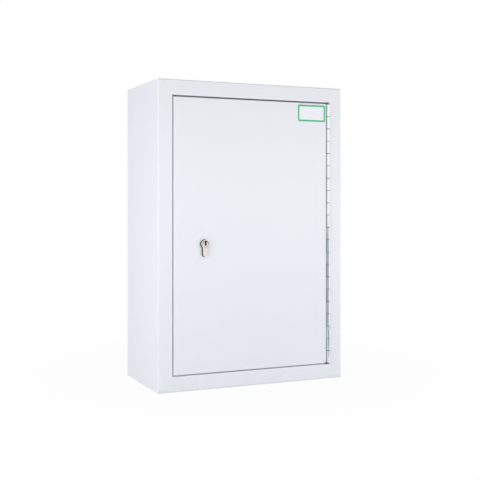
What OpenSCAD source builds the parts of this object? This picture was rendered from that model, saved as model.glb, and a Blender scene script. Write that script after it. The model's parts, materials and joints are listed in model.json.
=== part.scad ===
// Lockable wall cabinet for medicines: folded sheet steel shell with an inset door on a piano
// hinge, a half profile cylinder lock with its deadbolt, and two shelves on slotted strips.
// Millimetres, +Z up. X = 0 and Y = 0 are the middle of the base, and the front faces -Y.

/* [Shell] */
// Overall width
shell_w = 400; // [360:1:500]
// Overall height
shell_h = 600; // [560:1:800]
// Overall depth
shell_d = 200; // [180:1:320]
// Thickness of the folded steel sheet
sheet_t = 1.5; // [1.2:0.1:2]
// Outside radius of each fold
fold_r = 3; // [2.6:0.1:4]
// Width of the front frame at the top, the bottom and the lock side
frame_w = 30; // [28:1:45]
// Width of the front frame at the hinge side
hinge_frame_w = 27; // [20:1:45]
// Depth of the returns that line the door opening
return_d = 36; // [34:0.5:50]
// Diameter of the relief left where two folds meet at a front corner
relief_d = 1.8; // [1:0.1:2.2]

/* [Back] */
// Depth of the flanges round the back panel
back_flange_d = 15; // [8:1:30]
// Distance between the wall fixing holes, across
fixing_w = 300; // [240:1:320]
// Distance between the wall fixing holes, up and down
fixing_h = 440; // [300:1:480]
// Diameter of a wall fixing hole
fixing_hole_d = 8; // [6:0.5:10]

/* [Door] */
// Gap between the door and the frame at the lock side
lock_side_gap = 2; // [1.8:0.1:3]
// Gap under the door
bottom_gap = 2; // [1.5:0.1:4]
// Gap over the door
top_gap = 3; // [1.5:0.1:4]
// Depth of the folded door
door_d = 25; // [22:0.5:27]
// Width of the lips along the back of the door
lip_w = 10; // [7:0.5:14]
// Width of the stiffener's raised web
stiffener_w = 60; // [30:1:80]
// Height of the stiffener off the door sheet
stiffener_d = 15; // [8:1:18]
// Width of each welded foot of the stiffener
stiffener_foot = 15; // [8:1:20]
// Distance from the door's centre line to the stiffener's
stiffener_x = 31; // [0:1:60]

/* [Door stops] */
// Height of one stop angle
stop_h = 50; // [30:1:60]
// Reach of a stop across the opening
stop_reach = 15; // [12:0.5:20]
// Height of the lower stop's middle above the bottom of the door
stop_inset = 113; // [80:1:140]
// Thickness of the rubber buffer on each stop
buffer_t = 1.2; // [0.8:0.1:2]
// Gap between the buffer and the closed door
buffer_gap = 0.3; // [0.2:0.05:0.6]

/* [Hinge] */
// Length of one knuckle with its gap
knuckle_pitch = 25.4; // [20:0.1:40]
// Diameter of the hinge pin
pin_d = 4; // [3:0.1:5]
// Thickness of the hinge leaves
leaf_t = 1.5; // [1.2:0.1:2]
// Depth of the hinge leaves behind the pin's axis
leaf_w = 20; // [17:0.5:22]
// Distance of the pin's axis in front of the door's face
axis_proud = 1; // [0.6:0.1:2]
// Play of the pin in its knuckles, on the radius
pin_play = 0.05; // [0.03:0.01:0.08]
// Gap between a door knuckle and the frame knuckle that carries it
tight_gap = 0.15; // [0.1:0.05:0.3]
// Gap between a door knuckle and the frame knuckle over it
open_gap = 0.8; // [0.4:0.1:1.2]
// Number of rivets in each leaf
rivet_count = 6; // [4:1:9]
// Diameter of a rivet's shank
rivet_d = 3.2; // [2.4:0.1:3.4]
// Distance of the rivets behind the pin's axis
rivet_line = 13; // [10:0.5:14]

/* [Lock] */
// Height of the cylinder's axis above the base
lock_z = 283; // [240:1:340]
// Distance from the door's edge to the cylinder's axis
backset = 63; // [60:1:80]
// How far the cylinder stands out of the door
cylinder_proud = 5; // [3:0.5:7]
// Length of the cylinder from its face to its fixing screw
cylinder_front = 30; // [30:0.5:31]
// Length of the cylinder behind its fixing screw
cylinder_rear = 10; // [9.5:0.5:12]
// Diameter of the round head of the cylinder's profile
profile_head_d = 17; // [16.5:0.1:17.5]
// Height of the cylinder's profile
profile_h = 33; // [32:0.1:34]
// Width of the stem of the cylinder's profile
profile_stem_w = 10; // [9.5:0.1:10.5]
// Diameter of the plug that the key turns
plug_d = 13; // [12.5:0.1:13.5]
// Width of the keyway
keyway_w = 2.6; // [2.2:0.1:3]
// Height of the keyway
keyway_h = 8.5; // [7:0.1:9]
// Number of pins in the cylinder
pin_count = 5; // [4:1:5]
// Distance between the pins of the cylinder
pin_pitch = 4; // [3.6:0.1:4]
// Diameter of a pin of the cylinder
tumbler_d = 2.9; // [2.6:0.1:3]
// Reach of the cam from the cylinder's axis
cam_r = 15.5; // [15:0.1:16]
// Width of the cam's nose
cam_nose_w = 6; // [5:0.1:6.4]
// Height of the deadbolt's head
bolt_h = 24; // [20:0.5:26]
// Thickness of the deadbolt
bolt_t = 8; // [7:0.1:8.4]
// Travel of the deadbolt
bolt_throw = 20; // [19:0.1:20.5]
// Space in front of and behind the middle of the lock case
case_half_d = 7.5; // [7.3:0.1:8]
// Thickness of the lock case's plates
case_t = 1.5; // [1.2:0.1:1.8]
// Height of the lock case
case_h = 100; // [96:1:110]
// Thickness of the lock's forend
forend_t = 2.5; // [2:0.1:3]
// Width of the lock's forend
forend_w = 20; // [16:0.5:20]
// Diameter of the screws that hold the lock case
case_screw_d = 4; // [3:0.1:5]
// Diameter of the cylinder's fixing screw
fixing_screw_d = 5; // [4:0.1:5]

/* [Shelves] */
// Thickness of the shelf sheet
shelf_t = 1.2; // [0.8:0.1:1.5]
// Height of a shelf's folded edges
shelf_edge_h = 18; // [12:0.5:24]
// Width of the hem along a shelf's front edge
shelf_hem = 10; // [6:0.5:14]
// Distance of the shelves behind the front of the cabinet
shelf_setback = 42; // [40:0.5:60]
// Gap between a shelf and the back panel
shelf_back_gap = 2.5; // [1:0.1:5]
// Gap between a shelf's end and the strips
shelf_end_gap = 2.3; // [1:0.1:4]
// Thickness of a slotted strip
strip_t = 1.2; // [1:0.1:1.5]
// Width of a strip's raised web
strip_w = 14; // [13:0.5:20]
// Height of a strip off the side panel
strip_d = 6.2; // [6:0.1:8]
// Width of each welded foot of a strip
strip_foot = 6; // [4:0.5:8]
// Distance from the bottom and the top of the cabinet to the strips
strip_inset = 75; // [60:1:85]
// Distance from a shelf's front edge to the middle of the front strips
front_strip_y = 28; // [24:1:40]
// Distance from the back of the cabinet to the middle of the rear strips
rear_strip_y = 40; // [35:1:60]
// Distance between the slots of a strip
slot_pitch = 25; // [20:1:30]
// Width of a slot
slot_w = 10; // [8:0.5:11]
// Height of a slot
slot_h = 3.2; // [3:0.1:4]
// Thickness of a shelf clip
clip_t = 2; // [1.5:0.1:2.4]
// Reach of a clip under the shelf
clip_reach = 12; // [8:0.5:16]
// Slot that carries the lower shelf, counted up from the lowest
lower_slot = 4; // [3:1:5]
// Slot that carries the upper shelf, counted up from the lowest
upper_slot = 12; // [11:1:13]

/* [Label] */
// Width of the label plate
label_w = 63; // [40:1:80]
// Height of the label plate
label_h = 33; // [20:1:45]
// Thickness of the label plate
label_t = 0.4; // [0.3:0.1:0.8]
// Radius of the label's corners
label_r = 2.5; // [1:0.1:5]
// Distance from the label to the door's hinge edge
label_side = 4; // [4:0.5:20]
// Distance from the label to the door's top edge
label_top = 4.5; // [4:0.5:20]

/* [Hidden] */
$fn = 48;

// How far a cut runs past the face that it opens
over = 1;
// Straight steps that round one fold
fold_steps = 6;

// Outside faces of the shell
left = -shell_w / 2;
right = shell_w / 2;
front = -shell_d / 2;
back = shell_d / 2;

// Door opening
open_left = left + frame_w;
open_right = right - hinge_frame_w;
open_bottom = frame_w;
open_top = shell_h - frame_w;
return_end = front + return_d;

// Hinge
pin_r = pin_d / 2;
bore_r = pin_r + pin_play;
barrel_r = pin_r + leaf_t;
axis_x = open_right - barrel_r;
axis_y = front - axis_proud;
knuckle_clear = 0.4;
notch_y = axis_y + sqrt(pow(barrel_r + knuckle_clear, 2) - pow(pin_r, 2));

// Door
door_left = open_left + lock_side_gap;
door_right = open_right - 2 * barrel_r;
door_bottom = open_bottom + bottom_gap;
door_top = open_top - top_gap;
door_h = door_top - door_bottom;
door_mid_x = (door_left + door_right) / 2;
door_mid_z = (door_bottom + door_top) / 2;
door_back = front + door_d;
skin_back = front + sheet_t;

knuckle_count = floor(door_h / knuckle_pitch);
hinge_h = knuckle_count * knuckle_pitch;
hinge_bottom = door_mid_z - hinge_h / 2;
hinge_top = hinge_bottom + hinge_h;
pin_inset = 1;
rivet_play = 0.05;
rivet_r = rivet_d / 2;
rivet_y = axis_y + rivet_line;
rivet_head_t = 1;
rivet_head_r = 2.9;
rivet_head_top_r = 1.9;
rivet_tail_r = 2.6;
rivet_tail_top_r = 2.1;

// Lock cylinder
lock_x = door_left + backset;
cylinder_face = front - cylinder_proud;
lock_y = cylinder_face + cylinder_front;
cylinder_end = lock_y + cylinder_rear;
profile_head_r = profile_head_d / 2;
profile_stem_r = profile_stem_w / 2;
fixing_screw_z = lock_z + profile_head_r - profile_h + profile_stem_r;
door_hole_clear = 0.75;
case_hole_clear = 0.4;
running_play = 0.05;
plug_r = plug_d / 2;
plug_tail_r = 4;
plug_chamfer = 0.45;
plug_tail_inset = 1;
cam_half_t = 5;
cam_gap = 0.3;
circlip_t = 0.8;
circlip_w = 2;
cam_t = 2 * cam_half_t - circlip_t - 3 * cam_gap;
cam_start = lock_y - cam_half_t + cam_gap;
cam_clear = 0.6;
cam_rest_angle = 45;

// Pins and keyway of the cylinder
keyway_floor = 3.3;
keyway_run_out = 3;
keyway_ward = 0.7;
keyway_steps = 3;
keyway_step_lap = 0.5;
tumbler_r = tumbler_d / 2;
tumbler_play = 0.05;
first_pin_inset = 4;
first_pin_y = cylinder_face + first_pin_inset;
shear_gap = 0.1;
key_pin_h = 3.4;
key_pin_tip = 1;
driver_pin_h = 5;
chamber_floor_t = 3;
chamber_floor = lock_z + profile_head_r - profile_h + chamber_floor_t;
spring_wall = 0.6;
key_pin_bottom = lock_z - sqrt(pow(plug_r, 2) - pow(tumbler_r, 2));
driver_top = lock_z - plug_r - shear_gap;
driver_bottom = driver_top - driver_pin_h;
keyway_bottom = lock_z - plug_r + keyway_floor;
keyway_end = first_pin_y + (pin_count - 1) * pin_pitch + keyway_run_out;

// Lock case and forend
forend_x = door_left + sheet_t;
case_left = forend_x + forend_t;
case_front = lock_y - case_half_d;
case_back = lock_y + case_half_d;
case_rise = 7;
case_mid_z = lock_z + case_rise;
case_bottom = case_mid_z - case_h / 2;
case_top = case_mid_z + case_h / 2;
forend_margin = 4;
case_cut_margin = 4;
case_screw_r = case_screw_d / 2;
screw_head_t = 2.4;
screw_head_r = case_screw_d * 0.95;
screw_head_chamfer = 0.6;
drive_slot_w = 0.9;
drive_slot_depth = 1.2;
spacer_r = case_screw_d;
screw_inset = 8;
fixing_screw_r = fixing_screw_d / 2;
fixing_head_r = fixing_screw_d * 0.95;

// Deadbolt
bolt_rise = 5.5;
bolt_z = lock_z + profile_head_r + bolt_rise + bolt_h / 2;
bolt_slide_gap = 0.4;
strike_clear = 1.5;
hub_gap = 0.8;
tail_bottom = lock_z + profile_head_r + hub_gap;
cam_notch_x = lock_x + bolt_throw / 2;
notch_mouth = 6.9;
notch_crown = 5;
notch_top = lock_z + cam_r + cam_clear;
tail_wall = 5;
bolt_step_x = cam_notch_x - notch_mouth - bolt_throw - tail_wall;
bolt_tail_x = cam_notch_x + notch_mouth + tail_wall;
case_end_gap = 3.5;
case_right = bolt_tail_x + case_end_gap + case_t;
guide_r = 2.5;
guide_inset = 14;
guide_x = case_left + guide_inset;
guide_gap = 0.3;
screw_xs = [case_left + screw_inset, case_right - screw_inset];
screw_zs = [case_bottom + screw_inset, case_top - screw_inset];

// Shelves and strips
wall_x = right - sheet_t;
strip_face_x = wall_x - strip_d;
shelf_half_w = strip_face_x - shelf_end_gap;
shelf_front = front + shelf_setback;
shelf_back = back - sheet_t - shelf_back_gap;
strip_ys = [shelf_front + front_strip_y, back - rear_strip_y];
strip_bottom = strip_inset;
strip_top = shell_h - strip_inset;
slot_margin = 20;
first_slot_z = strip_bottom + slot_margin;
slot_count = floor((strip_top - slot_margin - first_slot_z) / slot_pitch) + 1;
clip_side_gap = 0.5;
clip_hook_h = 7;
inner_fold_r = 0.8;
hook_gap = 0.5;
clip_hook_x = strip_face_x + strip_t + hook_gap;
lower_clip_z = first_slot_z + lower_slot * slot_pitch;
upper_clip_z = first_slot_z + upper_slot * slot_pitch;

// Door stops
stop_face = door_back + buffer_gap + buffer_t;
stop_zs = [door_bottom + stop_inset, door_top - stop_inset];
buffer_h = 16;
buffer_w = 9;

// Colours
paint = "#e9ecf0";
zinc = "#c3c9cb";
steel = "#aeb3b6";
nickel = "#c9c6bf";
brass = "#c8a657";
black_rubber = "#2b2b2b";
label_white = "#f6f8f6";

// ---- Folded sheet: an outline that follows one face of the sheet, with the sheet on its left ----

function unit(v) = v / norm(v);
function leftward(v) = [-v[1], v[0]];

// Points round corner i of a path, on the path's own face or on the sheet's other face
function fold_at(path, i, t, r, other_face) =
    let (
        into = unit(path[i] - path[i - 1]),
        away = unit(path[i + 1] - path[i]),
        turn = atan2(cross(into, away), into * away),
        side = sign(turn),
        path_r = side > 0 ? r : r - t,
        face_r = other_face ? path_r - side * t : path_r,
        centre = path[i] - into * path_r * tan(abs(turn) / 2) + side * path_r * leftward(into),
        start = atan2(leftward(into)[1], leftward(into)[0])
    )
    [for (k = [0:fold_steps]) let (a = start + turn * k / fold_steps)
        centre - side * face_r * [cos(a), sin(a)]];

function reversed(list) = [for (i = [len(list) - 1:-1:0]) list[i]];

// Closed outline of a folded sheet of thickness t and outside fold radius r
function folded(path, t, r) =
    let (
        last = len(path) - 1,
        near = [for (i = [1:last - 1]) each fold_at(path, i, t, r, false)],
        far = [for (i = [1:last - 1]) each fold_at(path, i, t, r, true)]
    )
    concat([path[0]], near, [path[last], path[last] + t * leftward(unit(path[last] - path[last - 1]))],
        reversed(far), [path[0] + t * leftward(unit(path[1] - path[0]))]);

// A folded sheet that runs up and down: the path is in X and Y
module upright_sheet(path, low, high, t = sheet_t, r = fold_r) {
    translate([0, 0, low]) linear_extrude(high - low) polygon(folded(path, t, r));
}

// A folded sheet that runs from side to side: the path is in Y and Z
module level_sheet(path, from_x, to_x, t = sheet_t, r = fold_r) {
    translate([from_x, 0, 0]) rotate([90, 0, 90])
        linear_extrude(to_x - from_x) polygon(folded(path, t, r));
}

// Runs a flat shape, drawn in X and Z, from one depth to another
module along_y(from_y, to_y) {
    translate([0, to_y, 0]) rotate([90, 0, 0]) linear_extrude(to_y - from_y) children();
}

// A rod or hole along X, Y or Z
module rod_x(from_x, to_x, y, z, r, r_end = undef) {
    translate([from_x, y, z]) rotate([0, 90, 0])
        cylinder(h = to_x - from_x, r1 = r, r2 = is_undef(r_end) ? r : r_end);
}
module rod_y(x, from_y, to_y, z, r, r_end = undef) {
    translate([x, from_y, z]) rotate([-90, 0, 0])
        cylinder(h = to_y - from_y, r1 = r, r2 = is_undef(r_end) ? r : r_end);
}
module rod_z(x, y, from_z, to_z, r) {
    translate([x, y, from_z]) cylinder(h = to_z - from_z, r = r);
}

// A block between two corners
module block(low, high) {
    translate(low) cube(high - low);
}

// Keeps what lies between two mitres. Each mitre starts at an outer corner of the front and runs
// along its own direction, so neighbouring edges meet face to face
module mitred(corner_a, dir_a, corner_b, dir_b, depth) {
    intersection() {
        children();
        along_y(front - over, back + over) polygon([corner_a - over * dir_a, corner_b - over * dir_b,
            corner_b + depth * dir_b, corner_a + depth * dir_a]);
    }
}

// ---- Shell ----

// Mitre directions of the front frame, per millimetre of the frame at the lock side
lock_mitre = [1, 1];
hinge_mitre = [hinge_frame_w / frame_w, 1];
mitre_depth = frame_w + fold_r;

// The relief left at each bottom front corner, where the folds of two panels meet
module corner_reliefs() {
    for (x = [left + fold_r, right - fold_r])
        rod_y(x, front - over, front + sheet_t + over, fold_r, relief_d / 2);
}

module rivet_holes(x, shift) {
    for (z = rivet_zs(shift)) rod_x(x - over, x + sheet_t + over, rivet_y, z, rivet_r + rivet_play);
}

function rivet_zs(shift) =
    [for (i = [0:rivet_count - 1]) hinge_bottom + hinge_h * (i + 0.5) / rivet_count + shift];

module left_side_panel() {
    color(paint) difference() {
        mitred([left, 0], lock_mitre, [left, shell_h], [lock_mitre[0], -lock_mitre[1]], mitre_depth)
            upright_sheet([[left, back], [left, front], [open_left, front], [open_left, return_end]],
                0, shell_h);
        strike_slot();
        corner_reliefs();
    }
}

// The slot in the frame that the deadbolt enters
module strike_slot() {
    block([open_left - sheet_t - over, lock_y - bolt_t / 2 - strike_clear,
            bolt_z - bolt_h / 2 - strike_clear],
        [open_left + over, lock_y + bolt_t / 2 + strike_clear, bolt_z + bolt_h / 2 + strike_clear]);
}

module right_side_panel() {
    color(paint) difference() {
        mitred([right, 0], [-hinge_mitre[0], hinge_mitre[1]],
            [right, shell_h], [-hinge_mitre[0], -hinge_mitre[1]], mitre_depth)
            upright_sheet([[open_right, return_end], [open_right, front], [right, front],
                [right, back]], 0, shell_h);
        rivet_holes(open_right, 0);
        corner_reliefs();
    }
}

module top_panel() {
    color(paint)
        mitred([left, shell_h], [lock_mitre[0], -lock_mitre[1]],
            [right, shell_h], [-hinge_mitre[0], -hinge_mitre[1]], mitre_depth)
            level_sheet([[back, shell_h], [front, shell_h], [front, open_top],
                [return_end, open_top]], left, right);
}

module bottom_panel() {
    color(paint) difference() {
        mitred([left, 0], lock_mitre, [right, 0], [-hinge_mitre[0], hinge_mitre[1]], mitre_depth)
            level_sheet([[return_end, open_bottom], [front, open_bottom], [front, 0], [back, 0]],
                left, right);
        corner_reliefs();
    }
}

module back_panel() {
    near = back - back_flange_d;
    low = sheet_t;
    high = shell_h - sheet_t;
    color(paint) difference() {
        union() {
            upright_sheet([[wall_x, near], [wall_x, back], [-wall_x, back], [-wall_x, near]],
                low + fold_r, high - fold_r);
            level_sheet([[near, low], [back, low], [back, high], [near, high]],
                fold_r - wall_x, wall_x - fold_r);
        }
        for (x = [-1, 1], z = [-1, 1])
            rod_y(x * fixing_w / 2, back - sheet_t - over, back + over,
                shell_h / 2 + z * fixing_h / 2, fixing_hole_d / 2);
    }
}

// ---- Shelves ----

// Slotted strip on the left side panel, with its middle at depth y
module shelf_strip(y) {
    low_x = -wall_x;
    web_x = low_x + strip_d - strip_t;
    half = strip_w / 2;
    difference() {
        upright_sheet([[low_x, y + half + strip_foot], [low_x, y + half], [web_x, y + half],
            [web_x, y - half], [low_x, y - half], [low_x, y - half - strip_foot]],
            strip_bottom, strip_top, strip_t, strip_t + inner_fold_r);
        for (k = [0:slot_count - 1])
            block([web_x - over, y - slot_w / 2, first_slot_z + k * slot_pitch],
                [web_x + strip_t + over, y + slot_w / 2, first_slot_z + k * slot_pitch + slot_h]);
    }
}

// Clip hooked in one slot, with its foot on the slot's lower edge
module shelf_clip(y, z) {
    half = slot_w / 2 - clip_side_gap;
    translate([0, y + half, z]) rotate([90, 0, 0]) linear_extrude(2 * half)
        polygon(folded([[-strip_face_x + clip_reach, clip_t], [-clip_hook_x - clip_t, clip_t],
            [-clip_hook_x - clip_t, -clip_hook_h]], clip_t, clip_t + inner_fold_r));
}

module both_sides() {
    children();
    mirror([1, 0, 0]) children();
}

module shelf_strips() {
    color(zinc) both_sides() for (y = strip_ys) shelf_strip(y);
}

module lower_shelf_clips() {
    color(zinc) both_sides() for (y = strip_ys) shelf_clip(y, lower_clip_z);
}

module upper_shelf_clips() {
    color(zinc) both_sides() for (y = strip_ys) shelf_clip(y, upper_clip_z);
}

// Shelf with its underside on the clips at height z
module shelf(z) {
    top = z + clip_t + shelf_t;
    low = top - shelf_edge_h;
    level_sheet([[shelf_back, low], [shelf_back, top], [shelf_front, top], [shelf_front, low],
        [shelf_front + shelf_hem, low]], -shelf_half_w, shelf_half_w, shelf_t,
        shelf_t + inner_fold_r);
}

module lower_shelf() {
    color(paint) shelf(lower_clip_z);
}

module upper_shelf() {
    color(paint) shelf(upper_clip_z);
}

// ---- Door stops ----

module door_stops() {
    color(paint) for (z = stop_zs)
        upright_sheet([[open_left, return_end], [open_left, stop_face],
            [open_left + stop_reach, stop_face]], z - stop_h / 2, z + stop_h / 2);
}

module door_buffers() {
    color(black_rubber) for (z = stop_zs)
        block([door_left + sheet_t, stop_face - buffer_t, z - buffer_h / 2],
            [door_left + sheet_t + buffer_w, stop_face, z + buffer_h / 2]);
}

// ---- Hinge ----

// Height of knuckle i, counted up from the bottom
function knuckle_z(i) = hinge_bottom + i * knuckle_pitch;

// One leaf with its knuckles. The side is 1 for the frame's leaf and -1 for the door's, first is
// the lowest knuckle of the leaf, and each knuckle stops short at its two ends
module hinge_leaf(side, first, short_bottom, short_top, rivet_shift) {
    near_x = axis_x + side * pin_r;
    far_x = axis_x + side * barrel_r;
    low_x = min(near_x, far_x);
    high_x = max(near_x, far_x);
    difference() {
        union() {
            block([low_x, notch_y, hinge_bottom + short_bottom],
                [high_x, axis_y + leaf_w, hinge_top - short_top]);
            for (i = [first:2:knuckle_count - 1]) {
                low_z = knuckle_z(i) + short_bottom;
                high_z = knuckle_z(i + 1) - short_top;
                rod_z(axis_x, axis_y, low_z, high_z, barrel_r);
                block([low_x, axis_y, low_z], [high_x, notch_y + over, high_z]);
            }
        }
        rod_z(axis_x, axis_y, hinge_bottom - over, hinge_top + over, bore_r);
        for (z = rivet_zs(rivet_shift))
            rod_x(low_x - over, high_x + over, rivet_y, z, rivet_r + rivet_play);
    }
}

module hinge_frame_leaf() {
    color(zinc) hinge_leaf(1, 1, 0, 0, 0);
}

module hinge_door_leaf() {
    color(zinc) hinge_leaf(-1, 0, tight_gap, open_gap, knuckle_pitch / 2);
}

module hinge_pin() {
    color(steel) rod_z(axis_x, axis_y, hinge_bottom + pin_inset, hinge_top - pin_inset, pin_r);
}

// Rivet whose head lies on the leaf's face at x and whose shank runs outwards to the far side
// of the sheet
module rivet(x, z, outward) {
    grip = leaf_t + sheet_t;
    translate([x, rivet_y, z]) rotate([0, outward * 90, 0]) {
        translate([0, 0, -rivet_head_t])
            cylinder(h = rivet_head_t, r1 = rivet_head_top_r, r2 = rivet_head_r);
        translate([0, 0, -rivet_head_t / 2]) cylinder(h = grip + rivet_head_t, r = rivet_r);
        translate([0, 0, grip]) cylinder(h = rivet_head_t, r1 = rivet_tail_r, r2 = rivet_tail_top_r);
    }
}

module hinge_frame_rivets() {
    color(steel) for (z = rivet_zs(0)) rivet(axis_x + pin_r, z, 1);
}

module hinge_door_rivets() {
    color(steel) for (z = rivet_zs(knuckle_pitch / 2)) rivet(axis_x - pin_r, z, -1);
}

// ---- Door ----

// One folded edge of the door between its two mitred corners
module door_edge(corner_a, dir_a, corner_b, dir_b) {
    mitred(corner_a, dir_a, corner_b, dir_b, lip_w + over) children();
}

module door_panel() {
    color(paint) difference() {
        union() {
            block([door_left + fold_r, front, door_bottom + fold_r],
                [door_right - fold_r, skin_back, door_top - fold_r]);
            door_edge([door_left, door_bottom], [1, 1], [door_left, door_top], [1, -1])
                upright_sheet([[door_left + lip_w, door_back], [door_left, door_back],
                    [door_left, front], [door_left + lip_w, front]], door_bottom, door_top);
            door_edge([door_right, door_bottom], [-1, 1], [door_right, door_top], [-1, -1])
                upright_sheet([[door_right - lip_w, front], [door_right, front],
                    [door_right, door_back], [door_right - lip_w, door_back]],
                    door_bottom, door_top);
            door_edge([door_left, door_top], [1, -1], [door_right, door_top], [-1, -1])
                level_sheet([[door_back, door_top - lip_w], [door_back, door_top],
                    [front, door_top], [front, door_top - lip_w]], door_left, door_right);
            door_edge([door_left, door_bottom], [1, 1], [door_right, door_bottom], [-1, 1])
                level_sheet([[front, door_bottom + lip_w], [front, door_bottom],
                    [door_back, door_bottom], [door_back, door_bottom + lip_w]],
                    door_left, door_right);
        }
        along_y(front - over, skin_back + over) cylinder_profile(door_hole_clear);
        door_lock_cut();
        rivet_holes(door_right - sheet_t, knuckle_pitch / 2);
    }
}

// Room for the lock in the door's edge: the lip stops over the height of the forend, and the
// return is notched where the deadbolt and the fixing screw pass
module door_lock_cut() {
    block([door_left - over, door_back - fold_r, case_bottom - forend_margin - case_cut_margin],
        [door_left + lip_w + over, door_back + over,
            case_top + forend_margin + case_cut_margin]);
    block([door_left - over, lock_y - bolt_t / 2 - strike_clear, fixing_screw_z - 2 * fixing_screw_r],
        [door_left + sheet_t, door_back, bolt_z + bolt_h / 2 + strike_clear]);
}

module door_stiffener() {
    mid = door_mid_x + stiffener_x;
    half = stiffener_w / 2;
    foot = stiffener_foot;
    web = skin_back + stiffener_d;
    color(paint) upright_sheet([[mid - half - foot, skin_back], [mid - half, skin_back],
        [mid - half, web], [mid + half, web], [mid + half, skin_back],
        [mid + half + foot, skin_back]], door_bottom + 2 * lip_w, door_top - 2 * lip_w);
}

// Flat rectangle with round corners, from its lower left corner
module rounded_plate(w, h, r) {
    translate([r, 0]) square([w - 2 * r, h]);
    translate([0, r]) square([w, h - 2 * r]);
    for (x = [r, w - r], y = [r, h - r]) translate([x, y]) circle(r);
}

module door_label() {
    color(label_white) along_y(front - label_t, front)
        translate([door_right - label_side - label_w, door_top - label_top - label_h])
            rounded_plate(label_w, label_h, label_r);
}

// ---- Lock ----

// Outline of the profile cylinder: a round head over a narrow stem with a round end
module cylinder_profile(grow = 0) {
    translate([lock_x, lock_z]) circle(profile_head_r + grow);
    translate([lock_x - profile_stem_r - grow, fixing_screw_z])
        square([2 * (profile_stem_r + grow), lock_z - fixing_screw_z]);
    translate([lock_x, fixing_screw_z]) circle(profile_stem_r + grow);
}

// The pins' places along the cylinder
function pin_ys() = [for (i = [0:pin_count - 1]) first_pin_y + i * pin_pitch];

module cylinder_body() {
    cam_front = lock_y - cam_half_t;
    cam_back = lock_y + cam_half_t;
    color(nickel) difference() {
        along_y(cylinder_face, cylinder_end) cylinder_profile();
        block([lock_x - 2 * profile_head_r, cam_front, lock_z - cam_r - cam_clear],
            [lock_x + 2 * profile_head_r, cam_back, lock_z + 2 * profile_head_r]);
        rod_y(lock_x, cylinder_face - over, cam_front + over, lock_z, plug_r + running_play);
        rod_y(lock_x, cylinder_face, cylinder_face + plug_chamfer, lock_z,
            plug_r + plug_chamfer, plug_r);
        rod_y(lock_x, cam_back - over, cylinder_end + over, lock_z, plug_tail_r + running_play);
        for (y = pin_ys()) rod_z(lock_x, y, chamber_floor, lock_z, tumbler_r + tumbler_play);
        rod_x(lock_x - 2 * profile_stem_r, lock_x + 2 * profile_stem_r, lock_y, fixing_screw_z,
            fixing_screw_r + running_play);
    }
}

// Keyway seen from the front: a slot whose wards step from side to side
module keyway_outline() {
    step_h = (keyway_h - keyway_step_lap) / keyway_steps;
    for (k = [0:keyway_steps - 1])
        translate([lock_x - keyway_w / 2 + (k % 2) * keyway_ward, keyway_bottom + k * step_h])
            square([keyway_w - keyway_ward, step_h + keyway_step_lap]);
}

module lock_plug() {
    plug_end = lock_y - cam_half_t;
    color(nickel) difference() {
        union() {
            rod_y(lock_x, cylinder_face, cylinder_face + plug_chamfer, lock_z,
                plug_r - plug_chamfer, plug_r);
            rod_y(lock_x, cylinder_face + plug_chamfer, plug_end, lock_z, plug_r);
            rod_y(lock_x, plug_end - over, cylinder_end - plug_tail_inset, lock_z, plug_tail_r);
        }
        along_y(cylinder_face - over, keyway_end) keyway_outline();
        for (y = pin_ys())
            rod_z(lock_x, y, lock_z - plug_r - over, lock_z, tumbler_r + tumbler_play);
    }
}

module key_pins() {
    color(brass) for (y = pin_ys()) translate([lock_x, y, key_pin_bottom]) {
        cylinder(h = key_pin_h - key_pin_tip, r = tumbler_r);
        translate([0, 0, key_pin_h - key_pin_tip])
            cylinder(h = key_pin_tip, r1 = tumbler_r, r2 = tumbler_r / 2);
    }
}

module driver_pins() {
    color(steel) for (y = pin_ys()) rod_z(lock_x, y, driver_bottom, driver_top, tumbler_r);
}

module pin_springs() {
    color(steel) for (y = pin_ys()) difference() {
        rod_z(lock_x, y, chamber_floor, driver_bottom, tumbler_r);
        rod_z(lock_x, y, chamber_floor - over, driver_bottom + over, tumbler_r - spring_wall);
    }
}

module lock_cam() {
    nose_r = cam_nose_w / 2;
    color(steel) difference() {
        along_y(cam_start, cam_start + cam_t) translate([lock_x, lock_z]) {
            circle(profile_head_r);
            rotate(cam_rest_angle) {
                translate([0, -nose_r]) square([cam_r - nose_r, cam_nose_w]);
                translate([cam_r - nose_r, 0]) circle(nose_r);
            }
        }
        rod_y(lock_x, cam_start - over, cam_start + cam_t + over, lock_z,
            plug_tail_r + running_play);
    }
}

module cam_circlip() {
    start = cam_start + cam_t + cam_gap;
    color(steel) difference() {
        rod_y(lock_x, start, start + circlip_t, lock_z, plug_tail_r + circlip_w);
        rod_y(lock_x, start - over, start + circlip_t + over, lock_z, plug_tail_r);
        block([lock_x - circlip_w / 2, start - over, lock_z],
            [lock_x + circlip_w / 2, start + circlip_t + over, lock_z + 2 * plug_tail_r]);
    }
}

// Side view of the deadbolt: its head passes the forend, and its tail has the notch that the
// cam turns in
module deadbolt_outline() {
    low = bolt_z - bolt_h / 2;
    high = bolt_z + bolt_h / 2;
    polygon([[forend_x, low], [forend_x, high], [bolt_tail_x, high], [bolt_tail_x, tail_bottom],
        [cam_notch_x + notch_mouth, tail_bottom], [cam_notch_x + notch_crown, notch_top],
        [cam_notch_x - notch_crown, notch_top], [cam_notch_x - notch_mouth, tail_bottom],
        [bolt_step_x, tail_bottom], [bolt_step_x, low]]);
}

module deadbolt() {
    slot_r = guide_r + guide_gap;
    color(steel) difference() {
        along_y(lock_y - bolt_t / 2, lock_y + bolt_t / 2) deadbolt_outline();
        along_y(lock_y - bolt_t, lock_y + bolt_t) translate([guide_x, bolt_z]) {
            translate([0, -slot_r]) square([bolt_throw, 2 * slot_r]);
            circle(slot_r);
            translate([bolt_throw, 0]) circle(slot_r);
        }
    }
}

module bolt_guide_pin() {
    color(steel) rod_y(guide_x, case_front + case_t, case_back - case_t, bolt_z, guide_r);
}

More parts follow.
